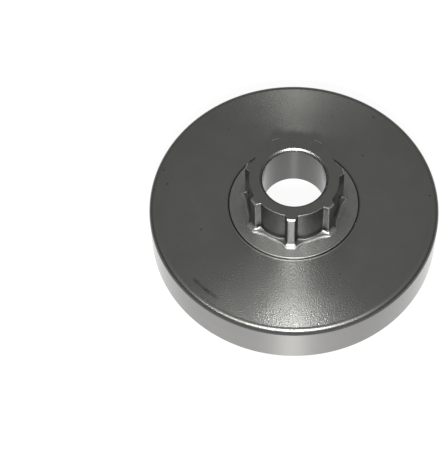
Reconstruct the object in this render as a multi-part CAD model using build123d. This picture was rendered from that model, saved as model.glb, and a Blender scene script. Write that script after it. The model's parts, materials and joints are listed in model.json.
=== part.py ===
from build123d import *

import os
from math import hypot, radians, tan

# A chainsaw clutch drum in one piece of steel: a shallow cup, open downwards, whose wall the clutch shoes
# grip from inside, and a splined hub on its closed face that hands the drive on.
# The rim stands on Z = 0, the bore runs up along Z, and the first spline points along -Y.

# Driving dimensions, in millimetres and degrees

# Cup
drum_diameter = 74.0         # turned outside of the wall
drum_wall = 2.0              # from the turned outside to the friction track
cup_depth = 11.4             # from the open rim to the underside of the web
web_thickness = 1.9          # closed end of the cup, measured beside the boss
face_fall = 0.2              # drop of the closed face from the boss out to the corner
corner_radius = 1.5          # outer rounding between face and wall
track_corner_chamfer = 0.6   # inner corner between friction track and web, as the turning tool leaves it
rim_chamfer = 0.3            # broken edges of the open rim

# Boss, the low round step that the hub stands on
boss_ledge = 3.85            # width of the boss outside the spline tips
boss_height = 0.5
boss_edge_chamfer = 0.2

# Hub and its splines
bore_diameter = 16.0         # seat of the needle cage that the drum idles on
bore_top_chamfer = 0.9
bore_bottom_chamfer = 0.9
hub_wall = 3.25              # from the bore to the valleys between the splines
hub_length = 11.9            # from the boss to the top of the hub
hub_top_chamfer = 0.4        # turned round the top of the blank, so only the spline tips keep it
hub_foot_radius = 1.3        # fillet that follows the spline outline round the foot
spline_count = 7
spline_height = 1.35         # from valley to tip
spline_tip_width = 1.85
spline_flank_angle = 22.0    # lean of each flank from the spline's centre line
spline_crest_radius = 0.2    # rounding down the two corners of each spline tip
first_spline_angle = -90.0   # direction of the first spline, from +X

# Radii and heights that follow from them
drum_radius = drum_diameter / 2
track_radius = drum_radius - drum_wall
bore_radius = bore_diameter / 2
valley_radius = bore_radius + hub_wall
tip_radius = valley_radius + spline_height
boss_radius = tip_radius + boss_ledge
face_height = cup_depth + web_thickness
corner_height = face_height - face_fall
boss_top = face_height + boss_height
hub_top = boss_top + hub_length
match_tolerance = 0.001      # how closely an edge has to lie on a height or a radius to be picked by it


def corner_of(profile, radius, height):
    """The corner of a flat profile that lies at this radius and height."""
    return profile.vertices().sort_by_distance((radius, height, 0))[0]


def cup_and_boss():
    """The cup with its boss, turned from one half section."""
    section = make_face(
        Polyline(
            (0, cup_depth),
            (track_radius, cup_depth),
            (track_radius, 0),
            (drum_radius, 0),
            (drum_radius, corner_height),
            (boss_radius, face_height),
            (boss_radius, boss_top),
            (0, boss_top),
            close=True,
        )
    )
    section = chamfer(corner_of(section, track_radius, cup_depth), track_corner_chamfer)
    section = chamfer(corner_of(section, track_radius, 0), rim_chamfer)
    section = chamfer(corner_of(section, drum_radius, 0), rim_chamfer)
    section = fillet(corner_of(section, drum_radius, corner_height), corner_radius)
    section = chamfer(corner_of(section, boss_radius, boss_top), boss_edge_chamfer)
    return revolve(Plane.XZ * section, Axis.Z)


def spline_half_width(radius):
    """Half the width of a spline where its leaning flanks cross this radius."""
    return spline_tip_width / 2 + (tip_radius - radius) * tan(radians(spline_flank_angle))


def hub_outline():
    """The hub's plan: the valley circle with the splines standing on it, run out past their tips."""
    inner_end = bore_radius
    outer_end = tip_radius + spline_height
    spline = make_face(
        Polyline(
            (inner_end, -spline_half_width(inner_end)),
            (outer_end, -spline_half_width(outer_end)),
            (outer_end, spline_half_width(outer_end)),
            (inner_end, spline_half_width(inner_end)),
            close=True,
        )
    )
    directions = PolarLocations(0, spline_count, start_angle=first_spline_angle)
    return Circle(valley_radius) + [place * spline for place in directions]


def hub_blank():
    """The turned cylinder that the splines are cut into, chamfered round its top."""
    blank = Pos(0, 0, boss_top) * extrude(Circle(tip_radius), hub_length)
    return chamfer(level_edges(blank, hub_top), hub_top_chamfer)


def distance_from_axis(edge):
    """How far the middle of an edge lies from the bore's axis."""
    middle = edge @ 0.5
    return hypot(middle.X, middle.Y)


def level_edges(body, height):
    """The edges of the body that lie at this height."""
    return body.edges().filter_by_position(Axis.Z, height - match_tolerance, height + match_tolerance)


def outline_edges(body, height):
    """The edges of the spline outline at this height."""
    reach = tip_radius + match_tolerance
    return level_edges(body, height).filter_by(lambda edge: distance_from_axis(edge) < reach)


def bore_edge(body, height):
    """The round edge of the bore at this height."""
    reach = bore_radius + match_tolerance
    return level_edges(body, height).filter_by(lambda edge: distance_from_axis(edge) < reach)


def splined_hub():
    """The blank with the splines cut into it and the corners of their tips rounded."""
    splines = Pos(0, 0, boss_top) * extrude(hub_outline(), hub_length)
    hub = splines & hub_blank()
    inner_limit = tip_radius - match_tolerance
    upright = hub.edges().filter_by(Axis.Z)
    crests = upright.filter_by(lambda edge: distance_from_axis(edge) > inner_limit)
    return fillet(crests, spline_crest_radius)


def clutch_drum():
    """The whole drum: splined hub on cup, foot fillet along the splines, then the bore."""
    drum = cup_and_boss() + splined_hub()
    drum = fillet(outline_edges(drum, boss_top), hub_foot_radius)
    drum -= Cylinder(bore_radius, 2 * hub_top)
    drum = chamfer(bore_edge(drum, hub_top), bore_top_chamfer)
    return chamfer(bore_edge(drum, cup_depth), bore_bottom_chamfer)


os.makedirs("parts", exist_ok=True)
export_step(clutch_drum(), "parts/clutch_drum.step")
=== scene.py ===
# %% [markdown]
# # A chainsaw clutch drum
#
# The drum is a shallow steel cup, which lies here on its open rim. The shoes of the clutch grip its wall
# from inside, and the splined hub on its closed face hands the drive on. It is one piece of steel, so the
# scene has one visible mesh. What the eye reads is the section, the small roundings that catch the light,
# and seven finishes of the same steel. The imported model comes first, as the fixed frame that everything is
# built in.

# %% Load the frame
import json
import math

import bmesh
import bpy
import numpy as np
from mathutils import Matrix, Vector


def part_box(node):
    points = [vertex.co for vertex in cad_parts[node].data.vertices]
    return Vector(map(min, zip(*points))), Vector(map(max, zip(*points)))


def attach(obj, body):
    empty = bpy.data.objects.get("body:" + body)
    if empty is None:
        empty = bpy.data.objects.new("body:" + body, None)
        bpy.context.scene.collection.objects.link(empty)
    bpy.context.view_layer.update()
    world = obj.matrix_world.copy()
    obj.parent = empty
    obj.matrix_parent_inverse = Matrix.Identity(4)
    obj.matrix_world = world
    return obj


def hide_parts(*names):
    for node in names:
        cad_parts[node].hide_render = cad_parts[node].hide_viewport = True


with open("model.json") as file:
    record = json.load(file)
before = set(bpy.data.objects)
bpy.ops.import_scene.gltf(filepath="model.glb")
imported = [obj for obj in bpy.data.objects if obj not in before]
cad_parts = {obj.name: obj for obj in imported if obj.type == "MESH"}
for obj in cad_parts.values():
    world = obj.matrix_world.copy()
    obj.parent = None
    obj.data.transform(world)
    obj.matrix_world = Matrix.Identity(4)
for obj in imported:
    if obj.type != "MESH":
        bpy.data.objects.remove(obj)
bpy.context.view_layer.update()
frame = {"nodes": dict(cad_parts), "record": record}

print("CAD nodes:", sorted(frame["nodes"]))

# %% [markdown]
# ## Sizes
#
# A learner might type every size again. It is safer to read from the frame what the frame knows, the
# outside, the height, the bore and the friction track, and to name only the rest. All of these are
# millimetres. Blender works in metres here, so one factor turns them at the moment a mesh is made.

# %% Sizes of the drum
MM = 0.001
lowest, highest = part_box("clutch_drum")
mounts = {mount["name"]: mount for mount in frame["record"]["mounts"]}

drum_radius = round(highest.x / MM, 2)
hub_top = round(highest.z / MM, 2)
bore_radius = mounts["bearing_bore"]["dims"]["r_mm"]
track_radius = mounts["friction_track"]["dims"]["r_mm"]

web_underside = 11.4       # bottom of the cup's closed end
face_height = 13.3         # closed face, beside the boss
face_fall = 0.2            # drop of the face from the boss out to the corner
corner_rounding = 1.5      # between face and wall
track_corner = 0.6         # chamfer between friction track and web
rim_break = 0.3            # broken edges of the open rim
boss_radius = 16.45        # low round step that the hub stands on
boss_top = 13.8
groove_width = 0.3         # narrow dark groove round the boss
groove_depth = 0.15
bead_width = 0.3           # low bead outside the groove
bead_height = 0.13
bore_chamfer = 0.9         # at the bottom of the bore
bore_lead = 0.75           # depth at which the two-step chamfer on top of the bore begins
bore_step = 0.3            # where its steep part meets its shallow part, both outwards and down
bore_mouth = 0.7           # width of both parts together
spline_count = 7
valley_radius = 11.25      # hub between the splines
tip_radius = 12.6          # top of the splines
tip_width = 1.85
flank_lean = math.radians(22)
foot_rounding = 1.3        # height of the fillet and pad where the hub meets the boss
tip_chamfer = 0.4          # turned on the spline tips before the splines were cut
edge_break = 0.1           # a sharp machined edge, as a file or a tumbler leaves it

print(f"drum {2 * drum_radius:.1f} mm across, {hub_top:.1f} mm high, bore {2 * bore_radius:.1f} mm")

# %% [markdown]
# ## The section, drawn as corners
#
# The cup is turned, so half a section says almost everything about it. A Screw modifier could spin such a
# section, but the splines need rings that change their radius on the way round, so the section is kept as a
# list of rings. Only the corners are written down. A small function rounds each one with an arc, because
# real edges are never sharp and a rounded edge is what shows as a bright line. It also leaves a ring close
# to each arc, so that smooth shading doesn't bend the flat beside it.

# %% Round the corners of a section
# Finishes by number. The second is a darker copy of the skin, painted shade; the third a lighter copy,
# partly rubbed wear and partly painted highlight.
AS_FORMED, PAINTED_SHADE, SCUFFED_AND_SHEEN, TIPPED, FACED, TURNED, BORED = range(7)
arc_step = math.radians(12)
holding_gap = 0.06


def arc_finish(before, after, spoke):
    """Finish of an arc: the face's arcs are as formed, and in painted shade where the corner nears the wall,
    for the dark band it mirrors there.
    """
    if before == after or FACED not in (before, after):
        return before
    return PAINTED_SHADE if after == TURNED and spoke.x > spoke.y else AS_FORMED


def rounded(corners):
    """Rings (radius, height, finish before) along corners (radius, height, rounding, finish after)."""
    rings = [(corners[0][0], corners[0][1], corners[0][3])]
    for before, here, after in zip(corners, corners[1:], corners[2:]):
        corner = Vector(here[:2])
        back = (Vector(before[:2]) - corner).normalized()
        ahead = (Vector(after[:2]) - corner).normalized()
        half_angle = back.angle(ahead) / 2
        reach = here[2] / math.tan(half_angle)
        centre = corner + (back + ahead).normalized() * here[2] / math.sin(half_angle)
        start = corner + back * reach - centre
        end = corner + ahead * reach - centre
        turn = start.angle_signed(end)
        steps = max(2, math.ceil(abs(turn) / arc_step))
        rings.append((*(centre + start + back * holding_gap), before[3]))
        for step in range(steps + 1):
            spoke = Matrix.Rotation(-turn * step / steps, 2) @ start
            rings.append((*(centre + spoke), arc_finish(before[3], here[3], spoke)))
        rings.append((*(centre + end + ahead * holding_gap), here[3]))
    rings.append((corners[-1][0], corners[-1][1], corners[-2][3]))
    return rings


print(f"a quarter circle is drawn in {math.ceil(math.pi / 2 / arc_step)} steps")

# %% Rings of the bore and of the cup
flat_margin = 1.2          # how far from a flat's outer edge its section starts or ends
bore_middle = (web_underside + hub_top) / 2
corner_height = face_height - face_fall
groove_floor = face_height - groove_depth
groove_end = boss_radius + groove_width

inner_rings = rounded([
    (bore_radius, bore_middle, 0, BORED),
    (bore_radius, hub_top - bore_lead, edge_break, AS_FORMED),
    (bore_radius + bore_step, hub_top - bore_step, edge_break, AS_FORMED),
    (bore_radius + bore_mouth, hub_top, edge_break, AS_FORMED),
    (valley_radius - flat_margin, hub_top, 0, AS_FORMED),
])
outer_rings = rounded([
    # The boss top is painted lighter, partly rubbed wear and partly painted highlight; its step, the groove
    # and the lower corner are in painted shade.
    (boss_radius - flat_margin, boss_top, 0, SCUFFED_AND_SHEEN),
    (boss_radius, boss_top, 2 * edge_break, PAINTED_SHADE),
    (boss_radius, groove_floor, edge_break / 2, PAINTED_SHADE),
    (boss_radius + groove_width / 2, groove_floor, edge_break / 2, PAINTED_SHADE),
    (groove_end, face_height + bead_height, edge_break / 2, AS_FORMED),
    (groove_end + bead_width, face_height, edge_break, FACED),
    (drum_radius, corner_height, corner_rounding, TURNED),
    (drum_radius, rim_break, edge_break, TURNED),
    (drum_radius - rim_break, 0, edge_break, TURNED),
    (track_radius + rim_break, 0, edge_break, TURNED),
    (track_radius, rim_break, edge_break, TURNED),
    (track_radius, web_underside - track_corner, edge_break, TURNED),
    (track_radius - track_corner, web_underside, edge_break, AS_FORMED),
    (bore_radius + bore_chamfer, web_underside, edge_break, BORED),
    (bore_radius, web_underside + bore_chamfer, edge_break, BORED),
    (bore_radius, bore_middle, 0, BORED),
])
print(f"plain rings: {len(inner_rings)} on the way up the bore, {len(outer_rings)} round the cup")

# %% [markdown]
# ## The spline outline and the rolling ball
#
# Seven straight splines stand on the hub. Their outline is simple, but its edges are not: the foot of the
# hub is filleted all round, and a fillet that follows such an outline is hard to get from a Bevel modifier.
# A cutter with a ball end shows the way. Where a ball of radius d rolls round the outside of a shape, its
# far side draws the outline moved out by d, with soft inner corners, and inside it draws the outline moved
# in. So one function that moves an outline by d gives the rounded spline corners, the broken top edge and
# every ring of the fillet.

# %% Move the spline outline in and out
sector = 2 * math.pi / spline_count
fine_angles = np.linspace(-sector, sector, 1601)
root_rounding = 0.35       # between flank and valley
crest_rounding = 0.2       # between flank and tip


def spline_outline(angles):
    """Radius of the hub at angles from a spline's middle: valley circle, leaning flanks, tip circle."""
    folded = np.abs((angles + sector / 2) % sector - sector / 2)
    slope = math.tan(flank_lean)
    flank = (tip_width / 2 + tip_radius * slope) / (np.sin(folded) + slope * np.cos(folded))
    return np.clip(flank, valley_radius, tip_radius)


def moved(radii, distance):
    """The outline that a ball of that radius draws, rolling outside it, or inside for a negative one."""
    if distance == 0:
        return radii
    x, y = radii * np.sin(fine_angles), radii * np.cos(fine_angles)
    sign = math.copysign(1, distance)
    result = np.empty_like(radii)
    for index, angle in enumerate(fine_angles):
        along = x * math.sin(angle) + y * math.cos(angle)
        across = x * math.cos(angle) - y * math.sin(angle)
        near = np.abs(across) <= abs(distance)
        reach = sign * along[near] + np.sqrt(distance**2 - across[near]**2)
        result[index] = sign * reach.max()
    return result


outline = spline_outline(fine_angles)
outline = moved(moved(outline, root_rounding), -root_rounding)
outline = moved(moved(outline, -crest_rounding), crest_rounding)
print(f"hub outline runs from radius {outline.min():.2f} to {outline.max():.2f} mm")

# %% [markdown]
# ## One seventh of the drum
#
# The drum repeats seven times, so only the sector round one spline is built by hand. It is a grid: rings
# that follow the section, and on each ring the same angles, close together where the spline's corners are.
# Each band of faces notes its finish in an attribute, which the next steps read.

# %% Angles of the sector
half = math.degrees(sector) / 2
corner_zone = (3.5, 14.0)  # degrees from a spline's middle between which its corners lie
half_angles = np.concatenate([
    np.linspace(0, corner_zone[0], 5)[:-1],
    np.linspace(*corner_zone, 25)[:-1],
    np.linspace(corner_zone[1], half, 11),
])
angles = np.radians(np.concatenate([-half_angles[:0:-1], half_angles]))


def outline_ring(distance, web=0.0):
    """Radii of the moved outline at the sector's angles. A ball of radius web fills its inner corners."""
    filled = moved(moved(outline, web), -web)
    return np.interp(angles, fine_angles, moved(filled, distance))


def level(height):
    """The same height at each of the sector's angles."""
    return np.full_like(angles, height)


def plain_ring(radius, height, finish):
    """A round, level ring."""
    return np.full_like(angles, radius), level(height), finish


print(f"{len(angles)} angles in a sector of {2 * half:.1f} degrees")

# %% [markdown]
# ## The hub
#
# The hub's rings lie on the moved outline. On top, the edge is just broken, and the spline tips also carry
# a turned cone, painted lighter as a painted highlight. The sides drop straight, with bright crests beside
# each tip and valleys in painted shade. At the foot, a fillet curves out onto a low sloping pad, whose
# valleys are webbed by a larger ball, and the pad ends in a rounded lip. The pad is painted darker in the
# valleys as painted shade, and lighter before each spline and on the lip as a painted highlight. A plain
# quarter circle would be simpler, but the lip is what draws the bright star round the foot.

# %% Top and sides of the hub
top_break = 0.18           # rounding along the top edge
top_flat_insets = [0.65, tip_chamfer, 0.35, 0.28, 0.22]  # rings on the flat, closer towards the edge
quarter = np.linspace(0, math.pi / 2, 7)
top_insets = top_flat_insets + list(top_break * (1 - np.sin(quarter)))

hub_rings = []
for inset in top_insets:
    radii = outline_ring(-inset)
    inside_break = max(0.0, top_break - inset)
    edge_drop = top_break - math.sqrt(top_break**2 - inside_break**2)
    cone_drop = radii - (tip_radius - tip_chamfer)
    # The turned cone on the spline tips is painted lighter, a painted highlight.
    finish = np.where(cone_drop > edge_drop, SCUFFED_AND_SHEEN, AS_FORMED)
    hub_rings.append((radii, hub_top - np.maximum(edge_drop, cone_drop), finish))

side = outline_ring(0)
# Sides and valleys of the hub are in painted shade; crests and tips keep their own finishes.
side_finish = np.where(side > tip_radius - crest_rounding / 2, TURNED, PAINTED_SHADE)
side_finish[side > tip_radius - crest_rounding / 10] = TIPPED
foot_start = boss_top + foot_rounding
hub_rings.append((side, hub_rings[-1][1] - holding_gap, side_finish))
hub_rings.append((side, level(foot_start + holding_gap), side_finish))
print(f"{len(hub_rings)} rings from the top of the hub to its foot")

# %% Foot of the hub
web_rounding = 9.0         # ball that fills the valleys at the outer end of the pad
lip_rounding = 0.3
pad_width = 0.3
pad_slope = math.radians(15)
painted_sheen_reach = math.radians(6)  # how far to each side of a spline's middle the pad is painted lighter, a painted highlight
pad_drop = pad_width * math.tan(pad_slope)
fillet = (foot_rounding - pad_drop) / math.cos(pad_slope) - lip_rounding
# The pad is painted lighter before each spline, a painted highlight, and darker in the valleys, painted
# shade.
pad_finish = np.where(np.abs(angles) < painted_sheen_reach, SCUFFED_AND_SHEEN, PAINTED_SHADE)

for tilt in np.linspace(0, math.pi / 2 - pad_slope, 10):
    reach = fillet * (1 - math.cos(tilt))
    web = web_rounding * (1 - math.cos(tilt)) / (1 - math.sin(pad_slope))
    height = foot_start - fillet * math.sin(tilt)
    hub_rings.append((outline_ring(reach, web), level(height), pad_finish))
pad_reach = reach + pad_width
pad_height = height - pad_drop
# The lip is painted lighter all round, a painted highlight.
for tilt in np.linspace(pad_slope, math.pi / 2, 7):
    reach = pad_reach + lip_rounding * (math.sin(tilt) - math.sin(pad_slope))
    height = pad_height - lip_rounding * (math.cos(pad_slope) - math.cos(tilt))
    hub_rings.append((outline_ring(reach, web_rounding), level(height), SCUFFED_AND_SHEEN))
hub_rings.append((hub_rings[-1][0] + holding_gap, hub_rings[-1][1], SCUFFED_AND_SHEEN))

rings = [plain_ring(*ring) for ring in inner_rings]
rings += hub_rings
rings += [plain_ring(*ring) for ring in outer_rings[:-1]]
print(f"sector grid: {len(rings)} rings of {len(angles)} points")

# %% Sector mesh
ring_length = len(angles)
points = np.concatenate([
    np.stack([radii * np.sin(angles), -radii * np.cos(angles), heights], axis=1)
    for radii, heights, finish in rings
])
faces = []
finishes = []
for ring in range(len(rings)):
    following = (ring + 1) % len(rings)
    band_finish = np.broadcast_to(rings[following][2], ring_length)
    for step in range(ring_length - 1):
        near = ring * ring_length + step
        far = following * ring_length + step
        faces.append((near, far, far + 1, near + 1))
        finishes.append(int(band_finish[step:step + 2].min()))

sector_mesh = bpy.data.meshes.new("drum_sector")
sector_mesh.from_pydata((points * MM).tolist(), [], faces)
sector_mesh.attributes.new("finish", "INT", "FACE").data.foreach_set("value", finishes)
sector_mesh.shade_smooth()
print(f"sector mesh: {len(sector_mesh.polygons)} faces")

# %% [markdown]
# ## Node helper and colours
#
# Node trees are easier to read when one line makes one node. The helper below adds a node of any kind, sets
# its options, and then fills each input with a plain value or links it to the socket that feeds it. Colours
# are written as the sRGB hex values a colour picker shows, and one function turns them into the linear
# numbers that Blender's sockets expect.

# %% Add a node, read a colour


def add(tree, kind, inputs=None, **settings):
    """One node with its settings. Each input takes a plain value or the socket that feeds it."""
    node = tree.nodes.new(kind)
    for name, value in settings.items():
        setattr(node, name, value)
    for key, value in (inputs or {}).items():
        if isinstance(value, bpy.types.NodeSocket):
            tree.links.new(value, node.inputs[key])
        else:
            node.inputs[key].default_value = value
    return node


def linear(hex_colour):
    """An sRGB hex colour as linear red, green, blue and alpha."""
    channels = [int(hex_colour[start:start + 2], 16) / 255 for start in (1, 3, 5)]
    return (*(c / 12.92 if c <= 0.04045 else ((c + 0.055) / 1.055) ** 2.4 for c in channels), 1.0)


def blended(tree, share, first, second):
    """A colour between two others. A Mix node keeps its pair of colours in sockets 6 and 7."""
    return add(tree, "ShaderNodeMix", {0: share, 6: first, 7: second}, data_type="RGBA").outputs[2]


def ramp(tree, value, start, end, first, last):
    """A value that runs from first to last while its input runs from start to end."""
    return add(tree, "ShaderNodeMapRange", {
        "Value": value, "From Min": start, "From Max": end, "To Min": first, "To Max": last,
    }).outputs[0]


def maths(tree, operation, *values):
    """One step of arithmetic on plain values or sockets."""
    return add(tree, "ShaderNodeMath", dict(enumerate(values)), operation=operation).outputs[0]


def empty_material(name):
    """A material with an empty node tree."""
    material = bpy.data.materials.new(name)
    material.use_nodes = True
    material.node_tree.nodes.clear()
    return material


print("steel grey #707070 in linear light:", [round(c, 3) for c in linear("#707070")])

# %% [markdown]
# ## One steel, seven finishes
#
# The drum is the same steel everywhere, so the finishes differ in how they were made. A shared function
# adds the steel's shader. Its one trick is the direction of the highlight. A lathe leaves grooves that run
# round the axis, and such grooves spread a highlight across themselves: into a radial streak on a face, and
# into an upright line on a wall. A texture of drawn streaks would stay still when the light moves, so the
# shader's anisotropy does it, with a tangent round Z and a quarter turn.

# %% Steel shader
quarter_turn = 0.25
oil_roughness = 0.15
grain_detail = 2.0
patch_detail = 5.0


def object_place(tree):
    """Coordinates on the object, in metres."""
    return add(tree, "ShaderNodeTexCoord").outputs["Object"]


def noise(tree, place, size, detail):
    """Soft noise between 0 and 1 whose features are about this many millimetres across."""
    return add(tree, "ShaderNodeTexNoise", {
        "Vector": place, "Scale": 1 / (size * MM), "Detail": detail,
    }).outputs["Fac"]


def steel_shader(tree, colour, roughness, streak, normal, oil=0.0):
    """Bare metal whose highlights stretch across the lathe's grooves, under an optional film of oil."""
    tangent = add(tree, "ShaderNodeTangent", direction_type="RADIAL", axis="Z")
    surface = add(tree, "ShaderNodeBsdfPrincipled", {
        "Base Color": colour, "Metallic": 1.0, "Roughness": roughness, "Anisotropic": streak,
        "Anisotropic Rotation": quarter_turn, "Tangent": tangent.outputs["Tangent"], "Normal": normal,
        "Coat Weight": oil, "Coat Roughness": oil_roughness,
    })
    add(tree, "ShaderNodeOutputMaterial", {"Surface": surface.outputs["BSDF"]})


def grain_bump(tree, place, size, height, detail=grain_detail):
    """The pitted grain of a blasted or phosphated skin, as a bump. Size and height are millimetres."""
    grain = noise(tree, place, size, detail)
    return add(tree, "ShaderNodeBump", {"Height": grain, "Distance": height * MM}).outputs["Normal"]


def mottled(tree, place, size, dark, light):
    """A colour that wanders between two tones in patches of this size in millimetres."""
    return blended(tree, noise(tree, place, size, patch_detail), linear(dark), linear(light))


print("shared steel shader is ready")

# %% [markdown]
# ## Dark phosphated skin
#
# Hub, boss and corner keep the dark grey skin of a phosphate bath over blasted steel. A darker copy of
# it is painted shade in the valleys, the groove round the boss and under the corner, and a lighter copy is
# a painted highlight on the tip cones, before each spline and on the lip, and on the boss partly rubbed
# wear. The grain is drawn coarser than life, so that it still shows at the size of the picture. One
# function makes all of these, since only tone, shine and grain differ.

# %% Phosphated steel
skin_grain_size = 0.4      # millimetres, drawn coarser than real blasting
skin_patch_size = 2.0


def phosphated_steel(name, dark, light, roughness, streak, height):
    """Blasted and phosphated steel: an even dark grey with a soft, grainy shine on every rounded edge."""
    material = empty_material(name)
    tree = material.node_tree
    place = object_place(tree)
    colour = mottled(tree, place, skin_patch_size, dark, light)
    steel_shader(tree, colour, roughness, streak, grain_bump(tree, place, skin_grain_size, height))
    return material


print("phosphated skin is ready")

# %% [markdown]
# ## Marks on the closed face
#
# A used face isn't clean. A few dark pits are spread by a pattern of cells: a pit shows only where the
# middle of a cell lies close to the face, so they come sparse and uneven. One short dark rub mark runs
# parallel to the rim on the left. It is drawn by its distance from a circle and from an azimuth, and a
# noise breaks it up.

# %% Pits and a rub mark
pit_spacing = 6.0
pit_core = 0.18            # radius of the dark middle of a pit
pit_edge = 0.42            # radius at which a pit has faded out
pit_strength = 0.55
rub_radius = 33.3
rub_azimuth = math.radians(-38)
rub_reach = math.radians(8)
rub_fade = 0.7             # share of the reach after which the mark begins to fade
rub_width = 0.7
rub_gap_size = 1.6
rub_detail = 3.0


def add_pits(tree, place, colour):
    """The colour with sparse dark pits, less than a millimetre across."""
    cells = add(tree, "ShaderNodeTexVoronoi", {"Vector": place, "Scale": 1 / (pit_spacing * MM)})
    distance = cells.outputs["Distance"]
    pits = ramp(tree, distance, pit_core / pit_spacing, pit_edge / pit_spacing, pit_strength, 0.0)
    return blended(tree, pits, colour, linear("#30302f"))


def add_rub(tree, place, radius, colour):
    """The colour with a broken dark rub mark that runs parallel to the rim."""
    axes = add(tree, "ShaderNodeSeparateXYZ", {0: place})
    towards_front = maths(tree, "MULTIPLY", axes.outputs["Y"], -1.0)
    azimuth = maths(tree, "ARCTAN2", axes.outputs["X"], towards_front)
    off_line = maths(tree, "ABSOLUTE", maths(tree, "SUBTRACT", radius, rub_radius * MM))
    off_middle = maths(tree, "ABSOLUTE", maths(tree, "SUBTRACT", azimuth, rub_azimuth))
    beside = ramp(tree, off_line, 0.0, rub_width * MM, 1.0, 0.0)
    along = ramp(tree, off_middle, rub_reach * rub_fade, rub_reach, 1.0, 0.0)
    gaps = noise(tree, place, rub_gap_size, rub_detail)
    share = maths(tree, "MULTIPLY", maths(tree, "MULTIPLY", beside, along), gaps)
    return blended(tree, share, colour, linear("#3a3a39"))


print(f"cells of pits {pit_spacing:.0f} mm apart, rub mark at radius {rub_radius:.1f} mm")

# %% [markdown]
# ## The faced skin
#
# The closed face looks faced on a lathe before the bath. It keeps the dark tone, but its grooves pull the
# light into a grainy streak, which brightens towards the rim, so the finish gets rougher on the way out.
# The tool marks also lean outwards, so the streak is stronger in front than behind the hub. The lean goes
# straight into the normal, added to the bumped grain, and grows slowly with the radius.

# %% Phosphated steel, faced on a lathe
SKIN_DARK, SKIN_LIGHT = "#7a7a77", "#848481"
face_patch_size = 5.0
face_grain_size = 0.28     # millimetres, drawn coarser than life
face_grain_height = 0.055
face_grain_detail = 0.0    # one size of grain, so that it sparkles
smooth_radius, smooth_roughness = 25.0, 0.277
rough_radius, rough_roughness = 34.0, 0.34
face_streak = 0.93
inner_lean = 0.05          # slope of the tool marks beside the boss
outer_lean = 0.13          # and at the rim


def faced_steel():
    """Phosphated steel with lathe grooves: dim all over, with a grainy radial streak towards each light."""
    material = empty_material("Phosphated_steel_faced")
    tree = material.node_tree
    place = object_place(tree)
    level_share = (1.0, 1.0, 0.0)
    flat = add(tree, "ShaderNodeVectorMath", {0: place, 1: level_share}, operation="MULTIPLY").outputs[0]
    radius = add(tree, "ShaderNodeVectorMath", {0: flat}, operation="LENGTH").outputs["Value"]
    roughness = ramp(tree, radius, smooth_radius * MM, rough_radius * MM, smooth_roughness, rough_roughness)
    slope = ramp(tree, radius, boss_radius * MM, drum_radius * MM, inner_lean, outer_lean)
    outwards = add(tree, "ShaderNodeVectorMath", {0: flat}, operation="NORMALIZE").outputs[0]
    lean = add(tree, "ShaderNodeVectorMath", {0: outwards, "Scale": slope}, operation="SCALE").outputs[0]
    grain = grain_bump(tree, place, face_grain_size, face_grain_height, face_grain_detail)
    leaning = add(tree, "ShaderNodeVectorMath", {0: grain, 1: lean}, operation="ADD").outputs[0]
    normal = add(tree, "ShaderNodeVectorMath", {0: leaning}, operation="NORMALIZE").outputs[0]
    skin = mottled(tree, place, face_patch_size, SKIN_DARK, SKIN_LIGHT)
    marked = add_rub(tree, place, radius, add_pits(tree, place, skin))
    steel_shader(tree, marked, roughness, face_streak, normal)
    return material


print(f"tool marks lean outwards by {inner_lean} to {outer_lean}")

# %% [markdown]
# ## Turned and bored steel
#
# The wall looks turned after the bath, the bore is bored for its needle cage, and both are oiled against
# rust. The oil matters for the look: where the wall bends away at the sides, the film mirrors the white
# paper and the wall turns almost white. Both get fine rings from a noise that is squeezed along Z. With all
# of the functions at hand, one table lists the seven finishes.

# %% Turned and bored steel
ring_drift = 50.0          # millimetres round the drum over which a lathe ring wanders
ring_detail = 3.0


def turned_rings(tree, place, pitch):
    """Rings that a lathe tool leaves at about this pitch in millimetres, as a value between 0 and 1."""
    stretch = (1 / (ring_drift * MM), 1 / (ring_drift * MM), 1 / (pitch * MM))
    squeezed = add(tree, "ShaderNodeMapping", {"Vector": place, "Scale": stretch}).outputs["Vector"]
    return add(tree, "ShaderNodeTexNoise", {
        "Vector": squeezed, "Scale": 1.0, "Detail": ring_detail,
    }).outputs["Fac"]


def ringed_steel(name, pitch, depth, dark, light, roughness, streak):
    """Bright oiled steel with lathe rings: an upright line towards each light, white at grazing angles."""
    material = empty_material(name)
    tree = material.node_tree
    height = turned_rings(tree, object_place(tree), pitch)
    bump = add(tree, "ShaderNodeBump", {"Height": height, "Distance": depth * MM})
    colour = blended(tree, height, linear(dark), linear(light))
    steel_shader(tree, colour, roughness, streak, bump.outputs["Normal"], oil=1.0)
    return material


print(f"lathe rings wander over {ring_drift:.0f} mm")

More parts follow.
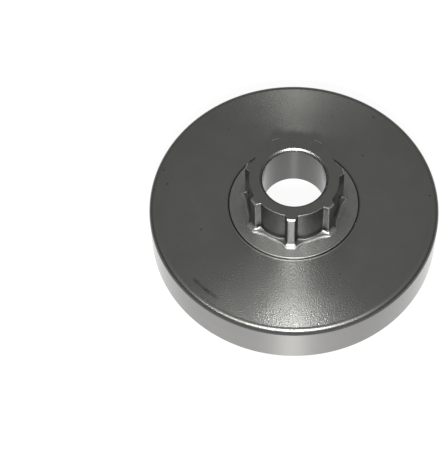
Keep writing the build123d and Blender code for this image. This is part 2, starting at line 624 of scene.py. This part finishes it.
# %% Table of finishes
steel_finishes = {
    # Plain skin on the hub's top, edges and the corner: mid grey with a firm shine.
    AS_FORMED: phosphated_steel(
        "Phosphated_steel", "#6c6c69", "#767673", roughness=0.36, streak=0.0, height=0.03),
    # Painted shade in the valleys, the groove and the line under the corner: the darkest tone, which sets
    # off the edges.
    PAINTED_SHADE: phosphated_steel(
        "Phosphated_steel_stained", "#555553", "#5d5d5b", roughness=0.36, streak=0.0, height=0.03),
    # Boss, tip cones, pad before each spline and lip: lighter, rougher and more grainy. The lighter tone is
    # a painted highlight, and on the boss partly rubbed wear.
    SCUFFED_AND_SHEEN: phosphated_steel(
        "Phosphated_steel_scuffed", "#82827f", "#969693", roughness=0.45, streak=0.45, height=0.08),
    # Spline tips, turned before the bath: dark, with an upright sheen.
    TIPPED: phosphated_steel(
        "Phosphated_steel_turned", "#60605e", "#6a6a68", roughness=0.44, streak=0.9, height=0.02),
    FACED: faced_steel(),
    # Wall and friction track: bright, with a soft upright line.
    TURNED: ringed_steel(
        "Turned_steel_oiled", 0.25, 0.004, "#777673", "#858481", roughness=0.36, streak=0.975),
    # Bore: painted darker, for the shade it mirrors from itself, with white at its sides.
    BORED: ringed_steel(
        "Bored_steel_oiled", 0.2, 0.002, "#474744", "#52524f", roughness=0.34, streak=0.965),
}
print("finishes:", [material.name for material in steel_finishes.values()])

# %% [markdown]
# ## Seven sectors make the drum
#
# A Geometry Nodes tree sets the sector on seven points, turns each copy by its share of the circle, and
# joins them into one closed skin. An Array modifier could do it as well, but the tree also reads the finish
# of every face and gives it its material. The result is taken out as a plain mesh, so nothing has to be
# worked out later.

# %% Node tree that repeats the sector
ring_tree = bpy.data.node_groups.new("Repeat_sector", "GeometryNodeTree")
sockets = ring_tree.interface
sockets.new_socket("Sector", socket_type="NodeSocketGeometry", in_out="INPUT")
count_socket = sockets.new_socket("Spline count", socket_type="NodeSocketInt", in_out="INPUT")
seam_socket = sockets.new_socket("Seam gap", socket_type="NodeSocketFloat", in_out="INPUT")
finish_sockets = {
    finish: sockets.new_socket(material.name, socket_type="NodeSocketMaterial", in_out="INPUT")
    for finish, material in steel_finishes.items()
}
sockets.new_socket("Drum", socket_type="NodeSocketGeometry", in_out="OUTPUT")

given = add(ring_tree, "NodeGroupInput").outputs
centres = add(ring_tree, "GeometryNodePoints", {"Count": given["Spline count"]})
number = add(ring_tree, "GeometryNodeInputIndex").outputs[0]
step_angle = maths(ring_tree, "DIVIDE", 2 * math.pi, given["Spline count"])
turn = maths(ring_tree, "MULTIPLY", number, step_angle)
about_axis = add(ring_tree, "ShaderNodeCombineXYZ", {"Z": turn})
copies = add(ring_tree, "GeometryNodeInstanceOnPoints", {
    "Points": centres.outputs[0], "Instance": given["Sector"], "Rotation": about_axis.outputs[0],
})
real = add(ring_tree, "GeometryNodeRealizeInstances", {"Geometry": copies.outputs[0]})
joined = add(ring_tree, "GeometryNodeMergeByDistance", {
    "Geometry": real.outputs[0], "Distance": given["Seam gap"],
})
dressed = joined.outputs[0]
finish_number = add(ring_tree, "GeometryNodeInputNamedAttribute", {"Name": "finish"}, data_type="INT")
for finish, material in steel_finishes.items():
    here = add(ring_tree, "FunctionNodeCompare", {
        2: finish_number.outputs[0], 3: finish,
    }, data_type="INT", operation="EQUAL")
    dressed = add(ring_tree, "GeometryNodeSetMaterial", {
        "Geometry": dressed, "Selection": here.outputs[0], "Material": given[material.name],
    }).outputs[0]
add(ring_tree, "NodeGroupOutput", {"Drum": dressed})
print(f"the tree that repeats the sector has {len(ring_tree.nodes)} nodes")

# %% Turn the tree's result into a plain mesh
seam_gap = 0.002
sector_mesh.materials.append(steel_finishes[AS_FORMED])
maker = bpy.data.objects.new("drum_maker", sector_mesh)
bpy.context.scene.collection.objects.link(maker)
repeat = maker.modifiers.new("Repeat sector", "NODES")
repeat.node_group = ring_tree
repeat[count_socket.identifier] = spline_count
repeat[seam_socket.identifier] = seam_gap * MM
for finish, material in steel_finishes.items():
    repeat[finish_sockets[finish].identifier] = material
evaluated = maker.evaluated_get(bpy.context.evaluated_depsgraph_get())
drum_mesh = bpy.data.meshes.new_from_object(evaluated)
drum_mesh.name = "drum_body"
maker.modifiers.remove(repeat)
bpy.data.objects.remove(maker)
drum = bpy.data.objects.new("drum_body", drum_mesh)
bpy.context.scene.collection.objects.link(drum)

shell = bmesh.new()
shell.from_mesh(drum_mesh)
volume = shell.calc_volume(signed=True) / MM**3
open_edges = sum(not edge.is_manifold for edge in shell.edges)
shell.free()
triangles = sum(len(face.vertices) - 2 for face in drum_mesh.polygons)
print(f"drum: {triangles} triangles, {open_edges} open edges, signed volume {volume:.0f} cubic mm")
print("material slots:", [material.name if material else None for material in drum_mesh.materials])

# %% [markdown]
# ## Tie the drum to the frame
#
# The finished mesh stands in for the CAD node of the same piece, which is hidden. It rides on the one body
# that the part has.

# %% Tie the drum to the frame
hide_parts("clutch_drum")
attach(drum, "root")
print("drum_body replaces clutch_drum and rides on root")

# %% [markdown]
# ## Floor
#
# The drum lies on white paper. More light would turn the paper white, but it would wash the steel out too.
# So most of the paper glows at plain white for rays from the camera and from mirroring steel, and the rest
# of it is matt, which keeps a trace of the drum's shadow.

# %% Floor
floor_half = 2000.0
floor_mesh = bpy.data.meshes.new("floor")
floor_corners = [(-1, -1, 0), (1, -1, 0), (1, 1, 0), (-1, 1, 0)]
floor_points = [tuple(c * floor_half * MM for c in corner) for corner in floor_corners]
floor_mesh.from_pydata(floor_points, [], [(0, 1, 2, 3)])
floor = bpy.data.objects.new("floor", floor_mesh)
bpy.context.scene.collection.objects.link(floor)

glow_share = 0.95
paper = empty_material("White_paper")
paper_tree = paper.node_tree
path = add(paper_tree, "ShaderNodeLightPath").outputs
mirrored = maths(paper_tree, "MAXIMUM", path["Is Glossy Ray"], path["Is Transmission Ray"])
seen = maths(paper_tree, "MAXIMUM", path["Is Camera Ray"], mirrored)
glowing = maths(paper_tree, "MULTIPLY", seen, glow_share)
matt = add(paper_tree, "ShaderNodeBsdfDiffuse", {"Color": linear("#f4f4f4")})
glow = add(paper_tree, "ShaderNodeEmission", {"Color": linear("#ffffff"), "Strength": 1.0})
mixed = add(paper_tree, "ShaderNodeMixShader", {0: glowing, 1: matt.outputs[0], 2: glow.outputs[0]})
add(paper_tree, "ShaderNodeOutputMaterial", {"Surface": mixed.outputs[0]})
floor_mesh.materials.append(paper)
print(f"floor: {2 * floor_half / 1000:.0f} m of white paper")

# %% [markdown]
# ## Lights
#
# A small lamp close to the camera's direction draws the streaks on face, wall and bore. A long strip light
# at the same distance widens the bright lines on the corner and the hub. The grey room fills the rest:
# darker at the horizon, which the steep edges mirror, and lighter above, which the flat face mirrors.

# %% Lights
hub_middle = Vector((0, 0, boss_top)) * MM


def softbox(name, azimuth, elevation, distance, width, height, power):
    """A soft light of that size that faces the hub. Azimuth 0 is in front, and grows towards +X."""
    lamp = bpy.data.lights.new(name, "AREA")
    lamp.shape = "RECTANGLE"
    lamp.size = width * MM
    lamp.size_y = height * MM
    lamp.energy = power
    box = bpy.data.objects.new(name, lamp)
    round_axis = Matrix.Rotation(math.radians(azimuth), 4, "Z")
    tilted = Matrix.Rotation(math.radians(90 - elevation), 4, "X")
    away = Matrix.Translation((0, 0, distance * MM))
    box.matrix_world = Matrix.Translation(hub_middle) @ round_axis @ tilted @ away
    bpy.context.scene.collection.objects.link(box)
    print(f"{name}: {power} W at {distance:.0f} mm, {width:.0f} by {height:.0f} mm")


softbox("camera_lamp", azimuth=3, elevation=50, distance=470, width=40, height=40, power=3.2)
softbox("strip_light", azimuth=-6, elevation=50, distance=470, width=640, height=50, power=2.2)

# %% Grey room
ceiling_start = 0.8        # where the ceiling begins, from 0 at the horizon to 1 overhead
world = bpy.data.worlds.new("Grey_room")
bpy.context.scene.world = world
world.use_nodes = True
world.node_tree.nodes.clear()
direction = add(world.node_tree, "ShaderNodeTexCoord").outputs["Generated"]
upwards = add(world.node_tree, "ShaderNodeSeparateXYZ", {0: direction}).outputs["Z"]
towards_ceiling = ramp(world.node_tree, upwards, 0.0, ceiling_start, 0.0, 1.0)
shade = blended(world.node_tree, towards_ceiling, linear("#727271"), linear("#b0b0af"))
room = add(world.node_tree, "ShaderNodeBackground", {"Color": shade, "Strength": 1.0})
add(world.node_tree, "ShaderNodeOutputWorld", {"Surface": room.outputs[0]})
print("room: grey, lighter overhead")

# %% [markdown]
# ## Camera
#
# The camera stands about where the photographer stood. A photograph this tight says little about the lens,
# so a lens was chosen, and the angles, the distance and the shift were fitted to the round edges that it
# shows.

# %% Camera
image_size = (440, 462)    # pixels of the photograph
focal_pixels = 1700.0      # focal length in those pixels
camera_bearing = 7.2       # degrees round Z
camera_elevation = 59.797  # degrees above the floor
camera_roll = -3.019       # degrees about the line of sight
rim_centre_right = 19.17   # where the rim's centre lies, right of the line of sight
rim_centre_up = 0.444      # and above it
camera_distance = 445.9

camera_data = bpy.data.cameras.new("camera")
camera_data.sensor_width = 36.0
camera_data.lens = focal_pixels / max(image_size) * camera_data.sensor_width
camera = bpy.data.objects.new("camera", camera_data)
facing = (
    Matrix.Rotation(math.radians(camera_bearing), 4, "Z")
    @ Matrix.Rotation(math.radians(90 - camera_elevation), 4, "X")
    @ Matrix.Rotation(math.radians(camera_roll), 4, "Z")
)
stand = facing @ Vector((-rim_centre_right, -rim_centre_up, camera_distance)) * MM
camera.matrix_world = Matrix.Translation(stand) @ facing
bpy.context.scene.collection.objects.link(camera)
bpy.context.scene.camera = camera
bpy.context.scene.view_settings.view_transform = "Standard"
print(f"camera: {camera_data.lens:.0f} mm lens at {camera_distance:.0f} mm")

# %% [markdown]
#
# The last step brings the view layer up to date.

bpy.context.view_layer.update()
